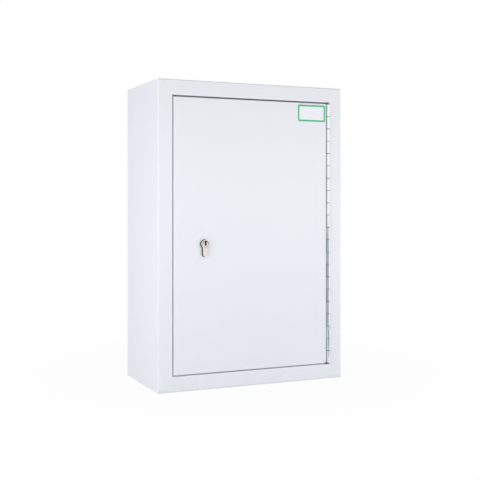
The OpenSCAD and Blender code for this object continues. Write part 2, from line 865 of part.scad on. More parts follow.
// Holes for the cylinder and the four screws through one plate of the case
module case_plate_holes(from_y, to_y) {
    along_y(from_y, to_y) cylinder_profile(case_hole_clear);
    for (x = screw_xs, z = screw_zs)
        rod_y(x, from_y, to_y, z, case_screw_r + running_play);
}

module lock_case() {
    color(zinc) difference() {
        block([case_left, case_front, case_bottom], [case_right, case_back - case_t, case_top]);
        block([case_left - over, case_front + case_t, case_bottom + case_t],
            [case_right - case_t, case_back, case_top - case_t]);
        case_plate_holes(case_front - over, case_front + case_t + over);
    }
}

module lock_case_cover() {
    color(zinc) difference() {
        block([case_left, case_back - case_t, case_bottom], [case_right, case_back, case_top]);
        case_plate_holes(case_back - case_t - over, case_back + over);
    }
}

module lock_forend() {
    color(zinc) difference() {
        block([forend_x, lock_y - forend_w / 2, case_bottom - forend_margin],
            [case_left, lock_y + forend_w / 2, case_top + forend_margin]);
        block([forend_x - over, lock_y - bolt_t / 2 - bolt_slide_gap, bolt_z - bolt_h / 2 - bolt_slide_gap],
            [case_left + over, lock_y + bolt_t / 2 + bolt_slide_gap, bolt_z + bolt_h / 2 + bolt_slide_gap]);
        rod_x(forend_x, case_left, lock_y, fixing_screw_z,
            fixing_head_r + running_play, fixing_screw_r + running_play);
    }
}

module lock_spacers() {
    color(zinc) for (x = screw_xs, z = screw_zs) difference() {
        rod_y(x, skin_back, case_front, z, spacer_r);
        rod_y(x, skin_back - over, case_front + over, z, case_screw_r + running_play);
    }
}

module lock_case_screws() {
    color(steel) for (x = screw_xs, z = screw_zs) {
        rod_y(x, skin_back, case_back, z, case_screw_r);
        difference() {
            rod_y(x, case_back, case_back + screw_head_t, z, screw_head_r,
                screw_head_r - screw_head_chamfer);
            for (turn = [45, -45])
                translate([x, case_back + screw_head_t, z]) rotate([0, turn, 0])
                    cube([screw_head_r, 2 * drive_slot_depth, drive_slot_w], center = true);
        }
    }
}

module cylinder_fixing_screw() {
    color(steel) difference() {
        union() {
            rod_x(forend_x, case_left, lock_y, fixing_screw_z, fixing_head_r, fixing_screw_r);
            rod_x(case_left - over, lock_x + profile_stem_r, lock_y, fixing_screw_z,
                fixing_screw_r);
        }
        for (turn = [0, 90]) translate([forend_x, lock_y, fixing_screw_z]) rotate([turn, 0, 0])
            cube([2 * drive_slot_depth, fixing_screw_d, drive_slot_w], center = true);
    }
}

left_side_panel();
right_side_panel();
top_panel();
bottom_panel();
back_panel();
shelf_strips();
lower_shelf_clips();
upper_shelf_clips();
lower_shelf();
upper_shelf();
door_stops();
door_buffers();
hinge_frame_leaf();
hinge_pin();
hinge_frame_rivets();
door_panel();
door_stiffener();
hinge_door_leaf();
hinge_door_rivets();
door_label();
lock_case();
lock_case_cover();
lock_forend();
lock_spacers();
lock_case_screws();
bolt_guide_pin();
deadbolt();
cylinder_body();
cylinder_fixing_screw();
driver_pins();
pin_springs();
lock_plug();
key_pins();
lock_cam();
cam_circlip();
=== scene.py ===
"""Lockable medicine cabinet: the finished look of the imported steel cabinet, laid out as an add-on.

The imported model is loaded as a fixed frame. The welded shell, the folded door and the label plate
are modelled here and stand for their plain solids. The hinge, the lock, the shelves and the other
fittings keep their solids' shapes, and the ones that show get broken edges.
All lengths are in metres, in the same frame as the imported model: the front faces -Y.
"""

import json
import math

import bmesh
import bpy
from bpy.props import FloatProperty, FloatVectorProperty, IntProperty, PointerProperty
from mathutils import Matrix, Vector

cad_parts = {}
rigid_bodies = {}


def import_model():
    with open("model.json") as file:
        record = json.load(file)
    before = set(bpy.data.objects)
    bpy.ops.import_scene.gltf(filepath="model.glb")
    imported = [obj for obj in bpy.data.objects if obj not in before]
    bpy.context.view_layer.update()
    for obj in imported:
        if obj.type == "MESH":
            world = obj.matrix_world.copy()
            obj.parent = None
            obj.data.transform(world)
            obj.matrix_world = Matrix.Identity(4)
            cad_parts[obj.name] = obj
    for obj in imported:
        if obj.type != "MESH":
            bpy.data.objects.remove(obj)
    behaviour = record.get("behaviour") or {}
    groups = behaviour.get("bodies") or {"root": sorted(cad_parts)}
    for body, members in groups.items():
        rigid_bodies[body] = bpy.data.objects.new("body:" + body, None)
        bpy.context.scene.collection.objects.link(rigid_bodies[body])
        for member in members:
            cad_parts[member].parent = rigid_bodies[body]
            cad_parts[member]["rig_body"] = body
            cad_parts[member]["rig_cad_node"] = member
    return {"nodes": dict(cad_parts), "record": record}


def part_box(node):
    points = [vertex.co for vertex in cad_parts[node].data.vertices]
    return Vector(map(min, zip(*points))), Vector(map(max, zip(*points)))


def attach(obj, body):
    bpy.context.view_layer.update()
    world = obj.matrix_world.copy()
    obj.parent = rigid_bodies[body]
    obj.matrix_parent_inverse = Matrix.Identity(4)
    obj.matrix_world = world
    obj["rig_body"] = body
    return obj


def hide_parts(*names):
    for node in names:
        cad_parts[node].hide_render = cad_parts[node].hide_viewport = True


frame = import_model()

bl_info = {
    "name": "Medicine Cabinet",
    "version": (1, 0, 0),
    "blender": (4, 5, 0),
    "location": "View3D > Sidebar > Cabinet",
    "description": "Models and finishes a lockable medicine cabinet round its packed frame",
    "category": "Object",
}

MM = 0.001
# How far a cutter reaches past what it cuts
OVER = 2 * MM
# The hinge's knuckles follow each other at one inch
KNUCKLE_PITCH = 25.4 * MM

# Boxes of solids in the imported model, which the pieces made here line up with
SHELL_LOW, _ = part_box("left_side_panel")
_, SHELL_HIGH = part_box("right_side_panel")
DOOR_LOW, DOOR_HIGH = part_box("door_panel")
LABEL_LOW, LABEL_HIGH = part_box("door_label")
CYLINDER_LOW, CYLINDER_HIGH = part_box("cylinder_body")
PLUG_LOW, PLUG_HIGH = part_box("lock_plug")
BOLT_LOW, BOLT_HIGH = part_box("deadbolt")
FOREND_LOW, FOREND_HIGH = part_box("lock_forend")
HINGE_LOW, HINGE_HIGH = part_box("hinge_frame_leaf")


# ---- Sizes and light that a user may change ----


class CabinetSheet(bpy.types.PropertyGroup):
    """The folded steel sheet of the shell and the door."""

    thickness: FloatProperty(
        name="Sheet Thickness", description="Thickness of the folded steel sheet",
        default=1.5 * MM, min=0.0, unit="LENGTH", subtype="DISTANCE")
    fold_radius: FloatProperty(
        name="Fold Radius", description="Outside radius of each fold",
        default=3 * MM, min=0.0, unit="LENGTH", subtype="DISTANCE")
    fold_segments: IntProperty(
        name="Fold Segments", description="Steps that round one fold", default=8, min=1)
    edge_break: FloatProperty(
        name="Edge Break", description="Rounding of the cut edges under the powder coat",
        default=0.35 * MM, min=0.0, unit="LENGTH", subtype="DISTANCE")
    frame_width: FloatProperty(
        name="Frame Width", description="Width of the front frame at the top, bottom and lock side",
        default=30 * MM, min=0.0, unit="LENGTH", subtype="DISTANCE")
    hinge_frame_width: FloatProperty(
        name="Hinge Frame Width", description="Width of the front frame at the hinge side",
        default=SHELL_HIGH.x - HINGE_HIGH.x, min=0.0, unit="LENGTH", subtype="DISTANCE")
    return_depth: FloatProperty(
        name="Return Depth", description="Depth of the returns that line the door opening",
        default=36 * MM, min=0.0, unit="LENGTH", subtype="DISTANCE")
    lip_width: FloatProperty(
        name="Door Lip Width", description="Width of the lips along the back of the door",
        default=10 * MM, min=0.0, unit="LENGTH", subtype="DISTANCE")
    gap_closing: FloatVectorProperty(
        name="Gap Closing", size=3, default=(0.35 * MM, 0.6 * MM, 0.5 * MM), unit="LENGTH",
        description="How much the folded door closes the plain solid's gaps: left, bottom, top")
    relief_diameter: FloatProperty(
        name="Corner Relief", description="Diameter of the relief holes at the bottom corners",
        default=1.8 * MM, min=0.0, unit="LENGTH", subtype="DISTANCE")


class CabinetLabel(bpy.types.PropertyGroup):
    """The label plate at the top of the door."""

    corner_radius: FloatProperty(
        name="Corner Radius", description="Radius of the plate's corners",
        default=3.2 * MM, min=0.0, unit="LENGTH", subtype="DISTANCE")
    taller: FloatVectorProperty(
        name="Taller", size=2, default=(0.3 * MM, 0.8 * MM), unit="LENGTH",
        description="How much further than its plain solid the plate reaches: below, above")
    border: FloatProperty(
        name="Border", description="Width of the printed green edge",
        default=3.5 * MM, min=0.0, unit="LENGTH", subtype="DISTANCE")


class CabinetStudio(bpy.types.PropertyGroup):
    """The camera and the light."""

    lens: FloatProperty(
        name="Lens", description="Focal length of the camera", default=66.5, min=1.0,
        unit="CAMERA")
    camera_place: FloatVectorProperty(
        name="Camera Place", description="Where the camera stands", size=3,
        default=(-0.737, -1.703, 0.366), unit="LENGTH", subtype="TRANSLATION")
    camera_heading: FloatProperty(
        name="Camera Heading", description="Turn of the level camera to the right of straight on",
        default=math.radians(23.81), unit="ROTATION", subtype="ANGLE")
    camera_shift: FloatProperty(
        name="Camera Shift", description="Vertical shift of the frame, as a share of its width",
        default=-0.0806)
    front_strip_power: FloatProperty(
        name="Front Strip Power", description="Power of the long strip lamp before the front",
        default=2.57, min=0.0, unit="POWER")
    low_strip_power: FloatProperty(
        name="Low Strip Power", description="Power of the long strip lamp near the floor",
        default=1.6, min=0.0, unit="POWER")
    side_strip_power: FloatProperty(
        name="Side Strip Power", description="Power of the strip lamp on the left",
        default=2.5, min=0.0, unit="POWER")
    right_softbox_power: FloatProperty(
        name="Right Softbox Power", description="Power of the softbox on the right",
        default=4.1, min=0.0, unit="POWER")
    ambient: FloatProperty(
        name="Ambient", description="Strength of the studio's all-round light",
        default=0.6, min=0.0)
    ambient_lean: FloatVectorProperty(
        name="Ambient Lean", description="How much stronger the all-round light is from one side",
        size=3, default=(-0.182, 0.056, -0.062), subtype="XYZ")


# ---- Modelling helpers ----


def linear(colour):
    """An sRGB hex colour as linear RGBA."""
    parts = [int(colour[i:i + 2], 16) / 255 for i in (1, 3, 5)]
    return [p / 12.92 if p <= 0.04045 else ((p + 0.055) / 1.055) ** 2.4 for p in parts] + [1.0]


def only(piece):
    """Selects one object alone and makes it the active one."""
    bpy.ops.object.select_all(action="DESELECT")
    piece.select_set(True)
    bpy.context.view_layer.objects.active = piece


def pick(kind, test):
    """In edit mode, selects only those vertices, edges or faces that the test accepts."""
    bpy.ops.mesh.select_mode(type=kind)
    bpy.ops.mesh.select_all(action="DESELECT")
    form = bmesh.from_edit_mesh(bpy.context.edit_object.data)
    items = {"VERT": form.verts, "EDGE": form.edges, "FACE": form.faces}[kind]
    found = [item for item in items if test(item)]
    if not found:
        raise RuntimeError(f"{bpy.context.edit_object.name}: nothing to select")
    for item in found:
        item.select_set(True)
    form.select_flush_mode()
    bmesh.update_edit_mesh(bpy.context.edit_object.data)


def ends(edge):
    """The places of an edge's two ends."""
    return edge.verts[0].co, edge.verts[1].co


def near(a, b, slack=0.05 * MM):
    """Whether two lengths agree within the slack."""
    return abs(a - b) < slack


def box(name, low, high):
    """A cube between two corners, its place in its mesh."""
    low, high = Vector(low), Vector(high)
    bpy.ops.object.select_all(action="DESELECT")
    bpy.ops.mesh.primitive_cube_add(size=1, location=(low + high) / 2)
    piece = bpy.context.active_object
    piece.name = piece.data.name = name
    piece.scale = high - low
    bpy.ops.object.transform_apply(location=True, rotation=True, scale=True)
    return piece


def rod(name, start, end, radius, vertices):
    """A cylinder between two points, its place in its mesh."""
    start, end = Vector(start), Vector(end)
    turn = (end - start).to_track_quat("Z", "Y").to_euler()
    bpy.ops.object.select_all(action="DESELECT")
    bpy.ops.mesh.primitive_cylinder_add(
        vertices=vertices, radius=radius, depth=(end - start).length,
        location=(start + end) / 2, rotation=turn)
    piece = bpy.context.active_object
    piece.name = piece.data.name = name
    bpy.ops.object.transform_apply(location=True, rotation=True, scale=True)
    return piece


def modify(piece, kind, **settings):
    """Adds a modifier with its settings and applies it."""
    only(piece)
    modifier = piece.modifiers.new(kind.title(), kind)
    for name, value in settings.items():
        setattr(modifier, name, value)
    bpy.ops.object.modifier_apply(modifier=modifier.name)


def cut(piece, *cutters):
    """Takes each cutter out of the piece."""
    for cutter in cutters:
        modify(piece, "BOOLEAN", object=cutter, operation="DIFFERENCE", solver="EXACT")
        bpy.data.objects.remove(cutter)


def break_edges(piece, width, angle=math.radians(35), segments=2):
    """Rounds what is sharper than the angle, and shades the rest by the same angle."""
    modify(piece, "BEVEL", width=width, segments=segments, limit_method="ANGLE",
           angle_limit=angle, use_clamp_overlap=True)
    only(piece)
    bpy.ops.object.shade_smooth_by_angle(angle=angle)
    modify(piece, "WEIGHTED_NORMAL", mode="FACE_AREA", weight=100, keep_sharp=True)


def fold(edge_test, radius, segments):
    """In edit mode, rounds the edges that the test accepts as folds of the sheet."""
    pick("EDGE", edge_test)
    bpy.ops.mesh.bevel(offset_type="OFFSET", offset=radius, segments=segments, profile=0.5,
                       affect="EDGES")


def on_rectangle(y, low, high):
    """A test for the four edges of the rectangle at depth y between two corners."""
    def test(edge):
        a, b = ends(edge)
        if not (near(a.y, y) and near(b.y, y)):
            return False
        along_x = near(a.z, b.z) and (near(a.z, low[1]) or near(a.z, high[1]))
        along_z = near(a.x, b.x) and (near(a.x, low[0]) or near(a.x, high[0]))
        return along_x or along_z
    return test


def wear(piece, material, slot, body, *nodes):
    """Gives a finished piece its material, its body and the solids that it stands for."""
    if material is not None:
        piece.data.materials.clear()
        piece.data.materials.append(material)
    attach(piece, body)
    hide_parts(*nodes)


# ---- Materials ----


def add_node(tree, kind, settings=None, links=None):
    """Adds a node. Settings name its own properties or its inputs, links its inputs' sources."""
    node = tree.nodes.new(kind)
    for name, value in (settings or {}).items():
        if isinstance(name, str) and hasattr(node, name):
            setattr(node, name, value)
        else:
            node.inputs[name].default_value = value
    for name, source in (links or {}).items():
        tree.links.new(source, node.inputs[name])
    return node


def new_material(name):
    """An empty node material, its tree and its output."""
    material = bpy.data.materials.new(name)
    material.use_nodes = True
    tree = material.node_tree
    tree.nodes.clear()
    return material, tree, add_node(tree, "ShaderNodeOutputMaterial")


def fade_out(tree, value, start, end):
    """1 where the value is up to start, 0 where it is past end, and a ramp between them."""
    return add_node(tree, "ShaderNodeMapRange",
                    {"From Min": start, "From Max": end, "To Min": 1.0, "To Max": 0.0},
                    {"Value": value}).outputs["Result"]


def make_powder_coat():
    """Polyester powder coat, sprayed dry and baked on the folded steel.

    It flows into a smooth skin with a fine orange peel about 2 mm across, and its slight sheen
    softens every reflection. The colour drifts by a hardly visible step over a hand's width, and the
    upright folds carry a painted highlight: they are painted whiter than the flat walls.
    """
    material, tree, out = new_material("white_powder_coat")
    place = add_node(tree, "ShaderNodeTexCoord").outputs["Object"]
    peel = add_node(tree, "ShaderNodeTexNoise",
                    {"Scale": 1 / (2.2 * MM), "Detail": 2.0, "Roughness": 0.45},
                    {"Vector": place}).outputs["Fac"]
    drift = add_node(tree, "ShaderNodeTexNoise",
                     {"Scale": 1 / (120 * MM), "Detail": 1.0}, {"Vector": place}).outputs["Fac"]
    colour = add_node(tree, "ShaderNodeMix",
                      {"data_type": "RGBA", 6: linear("#eaebef"), 7: linear("#ecedf1")},
                      {0: drift}).outputs[2]
    # Painted highlight: where the normal leans both sideways and forwards, on the upright folds, the
    # colour is painted whiter; the level folds at top and bottom stay as they are
    normal = add_node(tree, "ShaderNodeTexCoord").outputs["Normal"]
    facing = add_node(tree, "ShaderNodeSeparateXYZ", {}, {"Vector": normal}).outputs
    corner = add_node(tree, "ShaderNodeMath", {"operation": "MULTIPLY"},
                      {0: facing["X"], 1: facing["Y"]}).outputs[0]
    on_fold = add_node(tree, "ShaderNodeMath", {"operation": "ABSOLUTE"}, {0: corner}).outputs[0]
    painted_fold_highlight = add_node(tree, "ShaderNodeMapRange", {"From Min": 0.02, "From Max": 0.2},
                        {"Value": on_fold}).outputs["Result"]
    colour = add_node(tree, "ShaderNodeMix", {"data_type": "RGBA", 7: linear("#f0f1f4")},
                      {0: painted_fold_highlight, 6: colour}).outputs[2]
    rough = add_node(tree, "ShaderNodeMapRange", {"To Min": 0.36, "To Max": 0.42},
                     {"Value": peel}).outputs["Result"]
    bump = add_node(tree, "ShaderNodeBump", {"Strength": 0.35, "Distance": 0.02 * MM},
                    {"Height": peel}).outputs["Normal"]
    shader = add_node(tree, "ShaderNodeBsdfPrincipled", {"IOR": 1.5},
                      {"Base Color": colour, "Roughness": rough, "Normal": bump})
    tree.links.new(shader.outputs[0], out.inputs["Surface"])
    return material


def make_drawn_metal(name, dark, light, roughness, grain, bump_depth, dirt_and_shade_tone=None, dirt_and_shade_mask=None):
    """A metal whose surface carries fine lines along one axis, from rolling, drawing or brushing.

    Grain gives the distance between lines across each axis, in metres; the long one is the direction
    that the metal was worked in. A dull, rougher colour covers the metal where the given mask, which
    takes the tree and the place on the piece, comes to 1: painted shade in the lock's joints and
    keyway, and oil dirt with painted shade in the hinge's joints.
    """
    material, tree, out = new_material(name)
    place = add_node(tree, "ShaderNodeTexCoord").outputs["Object"]
    stretched = add_node(tree, "ShaderNodeMapping",
                         {"Scale": [1 / g for g in grain]}, {"Vector": place}).outputs["Vector"]
    lines = add_node(tree, "ShaderNodeTexNoise", {"Scale": 1.0, "Detail": 3.0, "Roughness": 0.6},
                     {"Vector": stretched}).outputs["Fac"]
    colour = add_node(tree, "ShaderNodeMix",
                      {"data_type": "RGBA", 6: linear(dark), 7: linear(light)},
                      {0: lines}).outputs[2]
    rough = add_node(tree, "ShaderNodeMapRange",
                     {"From Min": 0.3, "From Max": 0.7, "To Min": roughness[0],
                      "To Max": roughness[1]}, {"Value": lines}).outputs["Result"]
    bump = add_node(tree, "ShaderNodeBump", {"Strength": 0.4, "Distance": bump_depth},
                    {"Height": lines}).outputs["Normal"]
    shader = add_node(tree, "ShaderNodeBsdfPrincipled", {"Metallic": 1.0}, {"Normal": bump})
    # Painted shade, and on the hinge also oil dirt: a dull non-metallic colour where the mask comes
    # to 1
    if dirt_and_shade_tone:
        share = dirt_and_shade_mask(tree, place)
        colour = add_node(tree, "ShaderNodeMix", {"data_type": "RGBA", 7: linear(dirt_and_shade_tone)},
                          {0: share, 6: colour}).outputs[2]
        rough = add_node(tree, "ShaderNodeMix", {3: 0.7}, {0: share, 2: rough}).outputs[0]
        bare = add_node(tree, "ShaderNodeMath", {"operation": "SUBTRACT", 0: 1.0},
                        {1: share}).outputs[0]
        tree.links.new(bare, shader.inputs["Metallic"])
    tree.links.new(colour, shader.inputs["Base Color"])
    tree.links.new(rough, shader.inputs["Roughness"])
    tree.links.new(shader.outputs[0], out.inputs["Surface"])
    return material


def knuckle_joint_dirt_and_shade(tree, place):
    """1 on the cut ends of the hinge's knuckles and 0.4 mm round them: oil dirt, and painted shade
    in the joints between the knuckles.
    """
    height = add_node(tree, "ShaderNodeSeparateXYZ", {}, {"Vector": place}).outputs["Z"]
    above_foot = add_node(tree, "ShaderNodeMath", {"operation": "SUBTRACT", 1: HINGE_LOW.z},
                          {0: height}).outputs[0]
    from_joint = add_node(tree, "ShaderNodeMath", {"operation": "PINGPONG", 1: KNUCKLE_PITCH / 2},
                          {0: above_foot}).outputs[0]
    return fade_out(tree, from_joint, 0.3 * MM, 0.5 * MM)


def painted_shade_behind_lock_face(tree, place):
    """Painted shade: 1 behind the face of the lock, on the 6 mm that stand out of the door and in
    its opening.
    """
    clean_edge, half_depth = 0.4 * MM, 3 * MM
    middle_y = CYLINDER_LOW.y + clean_edge + half_depth
    depth = add_node(tree, "ShaderNodeSeparateXYZ", {}, {"Vector": place}).outputs["Y"]
    off = add_node(tree, "ShaderNodeMath", {"operation": "SUBTRACT", 1: middle_y},
                   {0: depth}).outputs[0]
    away = add_node(tree, "ShaderNodeMath", {"operation": "ABSOLUTE"}, {0: off}).outputs[0]
    return fade_out(tree, away, half_depth - 0.1 * MM, half_depth + 0.1 * MM)


def painted_shade_round_keyway(tree, place):
    """Painted shade: 1 in and beside the keyway, a dark patch on the plug's face, and in joints.

    The patch reaches 2 mm to each side and 4 mm up and down from a place right of the plug's
    middle and above it.
    """
    middle = (PLUG_LOW + PLUG_HIGH) / 2 + Vector((0.6 * MM, 0, 1.6 * MM))
    off = add_node(tree, "ShaderNodeVectorMath",
                   {"operation": "SUBTRACT", 1: (middle.x, 0, middle.z)},
                   {0: place}).outputs["Vector"]
    size = add_node(tree, "ShaderNodeVectorMath", {"operation": "ABSOLUTE"},
                    {0: off}).outputs["Vector"]
    axes = add_node(tree, "ShaderNodeSeparateXYZ", {}, {"Vector": size}).outputs
    across = fade_out(tree, axes["X"], 1.7 * MM, 2.1 * MM)
    along = fade_out(tree, axes["Z"], 3.8 * MM, 4.8 * MM)
    patch = add_node(tree, "ShaderNodeMath", {"operation": "MULTIPLY"},
                     {0: across, 1: along}).outputs[0]
    return add_node(tree, "ShaderNodeMath", {"operation": "MAXIMUM"},
                    {0: patch, 1: painted_shade_in_lock_joints(tree, place)}).outputs[0]


def painted_shade_in_lock_joints(tree, place):
    """Painted shade: 1 behind the face of the lock, and up to 0.9 in a ring round the plug.

    The ring of painted shade lies just inside the plug's edge. It is 1.4 mm wide, and lighter below
    than above.
    """
    middle = (PLUG_LOW + PLUG_HIGH) / 2
    flat = add_node(tree, "ShaderNodeVectorMath", {"operation": "MULTIPLY", 1: (1, 0, 1)},
                    {0: place}).outputs["Vector"]
    away = add_node(tree, "ShaderNodeVectorMath",
                    {"operation": "DISTANCE", 1: (middle.x, 0, middle.z)},
                    {0: flat}).outputs["Value"]
    ring_radius = (PLUG_HIGH.x - PLUG_LOW.x) / 2 - 0.3 * MM
    off = add_node(tree, "ShaderNodeMath", {"operation": "SUBTRACT", 1: ring_radius},
                   {0: away}).outputs[0]
    gap = add_node(tree, "ShaderNodeMath", {"operation": "ABSOLUTE"}, {0: off}).outputs[0]
    ring = fade_out(tree, gap, 0.5 * MM, 0.9 * MM)
    ramp = 3 * MM
    height = add_node(tree, "ShaderNodeSeparateXYZ", {}, {"Vector": place}).outputs["Z"]
    # The ring's painted shade is darker above the plug's middle than below it
    share = add_node(tree, "ShaderNodeMapRange",
                     {"From Min": middle.z - ramp, "From Max": middle.z + ramp,
                      "To Min": 0.3, "To Max": 0.9}, {"Value": height}).outputs["Result"]
    dirt = add_node(tree, "ShaderNodeMath", {"operation": "MULTIPLY"},
                    {0: ring, 1: share}).outputs[0]
    return add_node(tree, "ShaderNodeMath", {"operation": "MAXIMUM"},
                    {0: dirt, 1: painted_shade_behind_lock_face(tree, place)}).outputs[0]


def make_black_rubber():
    """Moulded rubber buffer: matt black, with a fine pebble and a grey bloom on the high spots."""
    material, tree, out = new_material("moulded_black_rubber")
    place = add_node(tree, "ShaderNodeTexCoord").outputs["Object"]
    pebble = add_node(tree, "ShaderNodeTexVoronoi", {"Scale": 1 / (0.6 * MM)},
                      {"Vector": place}).outputs["Distance"]
    colour = add_node(tree, "ShaderNodeMix",
                      {"data_type": "RGBA", 6: linear("#1c1c1d"), 7: linear("#303132")},
                      {0: pebble}).outputs[2]
    bump = add_node(tree, "ShaderNodeBump", {"Strength": 0.5, "Distance": 0.05 * MM},
                    {"Height": pebble}).outputs["Normal"]
    shader = add_node(tree, "ShaderNodeBsdfPrincipled", {"Roughness": 0.75, "IOR": 1.52},
                      {"Base Color": colour, "Normal": bump})
    tree.links.new(shader.outputs[0], out.inputs["Surface"])
    return material


def make_film(name, low, high, roughness):
    """Printed self-adhesive vinyl film: smooth and satin, its ink slightly uneven in density."""
    material, tree, out = new_material(name)
    place = add_node(tree, "ShaderNodeTexCoord").outputs["Object"]
    density = add_node(tree, "ShaderNodeTexNoise", {"Scale": 1 / (0.8 * MM), "Detail": 2.0},
                       {"Vector": place}).outputs["Fac"]
    colour = add_node(tree, "ShaderNodeMix",
                      {"data_type": "RGBA", 6: linear(low), 7: linear(high)},
                      {0: density}).outputs[2]
    bump = add_node(tree, "ShaderNodeBump", {"Strength": 0.15, "Distance": 0.01 * MM},
                    {"Height": density}).outputs["Normal"]
    shader = add_node(tree, "ShaderNodeBsdfPrincipled", {"Roughness": roughness, "IOR": 1.53},
                      {"Base Color": colour, "Normal": bump})
    tree.links.new(shader.outputs[0], out.inputs["Surface"])
    return material


MATERIALS = {}


def finish_of(name):
    """Each material, made once. The names are those of the real finishes."""
    if name not in MATERIALS:
        makers = {
            "powder_coat": make_powder_coat,
            # Bright zinc plate on rolled strip: a cool, even silver with faint lines along it
            "zinc_plate": lambda: make_drawn_metal(
                "bright_zinc_plate", "#d3dade", "#e3e8ea", (0.2, 0.28),
                (0.5 * MM, 0.5 * MM, 12 * MM), 0.01 * MM),
            # The hinge's strip is smoother, with dark oil dirt and painted shade at its knuckles'
            # ends
            "hinge_strip": lambda: make_drawn_metal(
                "hinge_zinc_plate", "#ebeff1", "#f6f8f9", (0.05, 0.1),
                (0.5 * MM, 0.5 * MM, 12 * MM), 0.01 * MM, "#3a3633", knuckle_joint_dirt_and_shade),
            # Drawn steel bar and wire, left bare: greyer and a little rougher
            "bare_steel": lambda: make_drawn_metal(
                "bright_drawn_steel", "#a6aaad", "#c0c4c6", (0.25, 0.38),
                (14 * MM, 0.4 * MM, 0.4 * MM), 0.01 * MM),
            # The hinge's drawn wire pin, dark with oil and painted darker still as the shade where
            # it shows between the knuckles
            "hinge_wire": lambda: make_drawn_metal(
                "oiled_hinge_wire_painted_shade", "#262524", "#343230", (0.3, 0.4),
                (0.4 * MM, 0.4 * MM, 14 * MM), 0.005 * MM),
            # Satin nickel over brass, brushed up and down on the face, with painted shade in its
            # joints and on its sides behind its face
            "satin_nickel": lambda: make_drawn_metal(
                "satin_nickel_plate", "#e8e1d8", "#f1ebe3", (0.24, 0.34),
                (0.25 * MM, 0.25 * MM, 5 * MM), 0.008 * MM, "#4a423c", painted_shade_in_lock_joints),
            # The plug is painted near black in and beside its keyway and in its joints, as painted
            # shade
            "plug_nickel": lambda: make_drawn_metal(
                "plug_nickel_painted_shade", "#e8e1d8", "#f1ebe3", (0.24, 0.34),
                (0.25 * MM, 0.25 * MM, 5 * MM), 0.008 * MM, "#171411", painted_shade_round_keyway),
            # Turned brass, dulled by oil: fine rings read as faint streaks round the pin
            "brass": lambda: make_drawn_metal(
                "turned_brass", "#8d7440", "#a68a52", (0.26, 0.34),
                (3 * MM, 3 * MM, 0.2 * MM), 0.005 * MM),
            "black_rubber": make_black_rubber,
            "label_film": lambda: make_film("white_label_film", "#eeeef4", "#f2f2f7", 0.36),
            "label_ink": lambda: make_film("green_label_ink", "#34b773", "#40c07f", 0.36),
        }
        MATERIALS[name] = makers[name]()
    return MATERIALS[name]


# ---- Pieces ----


class CABINET_OT_shell(bpy.types.Operator):
    """Fold and weld the shell: four walls, the front frame and the returns round the opening"""

    bl_idname = "cabinet.shell"
    bl_label = "Welded Shell"

    def execute(self, context):
        sheet = context.scene.cabinet_sheet
        low, high = SHELL_LOW, SHELL_HIGH
        shell = box("welded_shell", low, high)
        bpy.ops.object.mode_set(mode="EDIT")
        pick("FACE", lambda f: f.normal.y > 0.9)
        bpy.ops.mesh.delete(type="FACE")
        # The front frame, narrower at the hinge side
        pick("FACE", lambda f: f.normal.y < -0.9)
        bpy.ops.mesh.inset(thickness=sheet.frame_width)
        inner_right = high.x - sheet.frame_width
        pick("VERT", lambda v: near(v.co.x, inner_right))
        bpy.ops.transform.translate(value=(sheet.frame_width - sheet.hinge_frame_width, 0, 0))
        # The returns that line the opening
        opening_low = (low.x + sheet.frame_width, low.z + sheet.frame_width)
        opening_high = (high.x - sheet.hinge_frame_width, high.z - sheet.frame_width)
        pick("FACE", lambda f: f.normal.y < -0.9 and near(
            f.calc_center_median().x, (opening_low[0] + opening_high[0]) / 2))
        bpy.ops.mesh.extrude_region_move(
            TRANSFORM_OT_translate={"value": (0, sheet.return_depth, 0)})
        bpy.ops.mesh.delete(type="FACE")
        outer = on_rectangle(low.y, (low.x, low.z), (high.x, high.z))
        opening = on_rectangle(low.y, opening_low, opening_high)
        fold(lambda e: outer(e) or opening(e), sheet.fold_radius, sheet.fold_segments)
        bpy.ops.object.mode_set(mode="OBJECT")
        modify(shell, "SOLIDIFY", thickness=sheet.thickness, offset=-1, use_even_offset=True)
        # The slot for the deadbolt's head, and the reliefs at the two bottom corners
        bolt_head = 24 * MM
        room = Vector((0, 1.5 * MM, 1.5 * MM))
        slot_low = Vector((opening_low[0] - sheet.thickness - OVER, BOLT_LOW.y,
                           BOLT_HIGH.z - bolt_head))
        slot_high = Vector((opening_low[0] + OVER, BOLT_HIGH.y, BOLT_HIGH.z))
        cut(shell, box("slot_cutter", slot_low - room, slot_high + room))
        for x in (low.x + sheet.fold_radius, high.x - sheet.fold_radius):
            z = low.z + sheet.fold_radius
            cut(shell, rod("relief_cutter", (x, low.y - OVER, z),
                           (x, low.y + sheet.thickness + OVER, z), sheet.relief_diameter / 2, 16))
        break_edges(shell, sheet.edge_break)
        wear(shell, finish_of("powder_coat"), "powder_coat", "cabinet",
             "left_side_panel", "right_side_panel", "top_panel", "bottom_panel")
        return {"FINISHED"}


